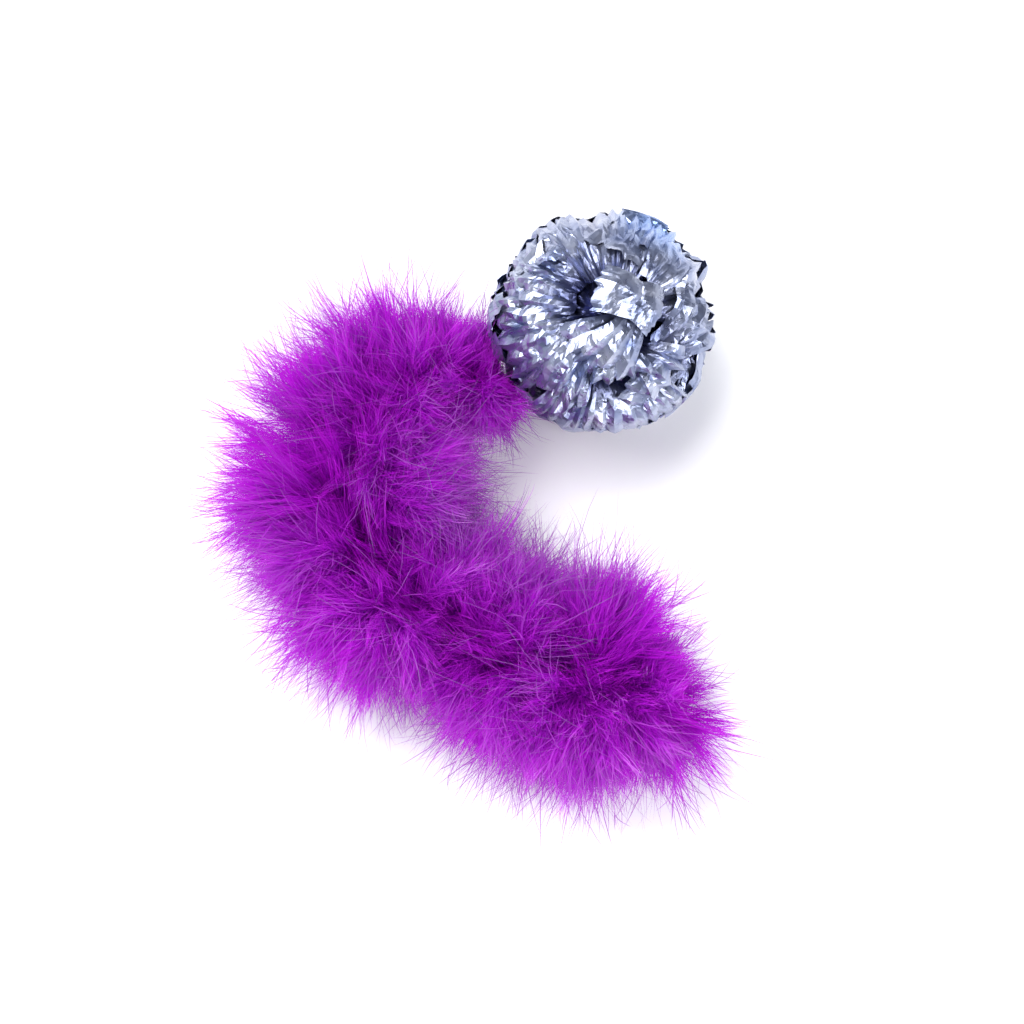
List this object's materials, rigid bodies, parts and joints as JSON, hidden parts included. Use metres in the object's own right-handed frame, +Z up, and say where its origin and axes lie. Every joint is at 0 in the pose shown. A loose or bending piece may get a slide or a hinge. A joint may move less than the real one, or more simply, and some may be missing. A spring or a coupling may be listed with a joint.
{
  "type": "feather tail crinkle ball toy",
  "caption": "Crinkled ball of metallised film with a short curled tail of fluffy marabou plumes bound on a cord; the tail bends and the ball swings on its knot.",
  "frame": {"origin": "middle of the toy's outline on the surface that it lies on", "axes": "+Z up from that surface; the ball lies towards +X +Y, and the tail curls from it round -X to its free end at +X -Y"},
  "size_m": [0.108, 0.132, 0.0493],
  "materials": {
    "film": "gloss",
    "band": "matte",
    "cord": "matte",
    "thread": "matte",
    "quill": "satin",
    "plume": "matte"
  },
  "bodies": {
    "ball": {"film_leaf_01": "film", "film_leaf_02": "film", "film_leaf_03": "film", "film_leaf_04": "film", "film_leaf_05": "film", "film_leaf_06": "film", "film_leaf_07": "film", "film_leaf_08": "film", "film_leaf_09": "film", "film_leaf_10": "film", "gathered_waist": "film", "waist_tie": "band", "ball_lead": "cord"},
    "knot": {"tie_knot": "cord"},
    "tail_1": {"core_cord_01": "cord", "binding_thread_01": "thread", "quill_collar_01": "quill", "plume_tuft_01": "plume", "quill_collar_02": "quill", "plume_tuft_02": "plume"},
    "tail_2": {"core_cord_02": "cord", "binding_thread_02": "thread", "quill_collar_03": "quill", "plume_tuft_03": "plume", "quill_collar_04": "quill", "plume_tuft_04": "plume"},
    "tail_3": {"core_cord_03": "cord", "binding_thread_03": "thread", "quill_collar_05": "quill", "plume_tuft_05": "plume", "quill_collar_06": "quill", "plume_tuft_06": "plume"},
    "tail_4": {"core_cord_04": "cord", "binding_thread_04": "thread", "quill_collar_07": "quill", "plume_tuft_07": "plume", "quill_collar_08": "quill", "plume_tuft_08": "plume"},
    "tail_5": {"core_cord_05": "cord", "binding_thread_05": "thread", "quill_collar_09": "quill", "plume_tuft_09": "plume", "quill_collar_10": "quill", "plume_tuft_10": "plume", "end_whipping": "thread", "end_knot": "cord"}
  },
  "joints": [
    {"name": "bend_1", "type": "hinge", "parent": "tail_2", "child": "tail_1", "pos_m": [-0.02028, 0.01974, 0.019], "axis": [0, 0, -1], "range_deg": [-35, 8], "deforming": ["plume_tuft_01", "plume_tuft_02"]},
    {"name": "bend_2", "type": "hinge", "parent": "tail_3", "child": "tail_2", "pos_m": [-0.02665, -0.00465, 0.019], "axis": [0, 0, -1], "range_deg": [-35, 8], "deforming": ["plume_tuft_03", "plume_tuft_04", "plume_tuft_05", "plume_tuft_06"]},
    {"name": "bend_3", "type": "hinge", "parent": "tail_3", "child": "tail_4", "pos_m": [-0.012, -0.0253, 0.019], "axis": [0, 0, 1], "range_deg": [-35, 8], "deforming": ["plume_tuft_07", "plume_tuft_08"]},
    {"name": "bend_4", "type": "hinge", "parent": "tail_4", "child": "tail_5", "pos_m": [0.01164, -0.0359, 0.019], "axis": [0, 0, 1], "range_deg": [-35, 8], "deforming": ["plume_tuft_09", "plume_tuft_10"]},
    {"name": "ball_swing", "type": "hinge", "parent": "tail_1", "child": "knot", "pos_m": [0.00318, 0.02723, 0.021], "axis": [0, 0, -1], "range_deg": [-30, 15]},
    {"name": "ball_lift", "type": "hinge", "parent": "knot", "child": "ball", "pos_m": [0.00318, 0.02723, 0.021], "axis": [0.5, -0.866, 0], "range_deg": [0, 40]}
  ]
}
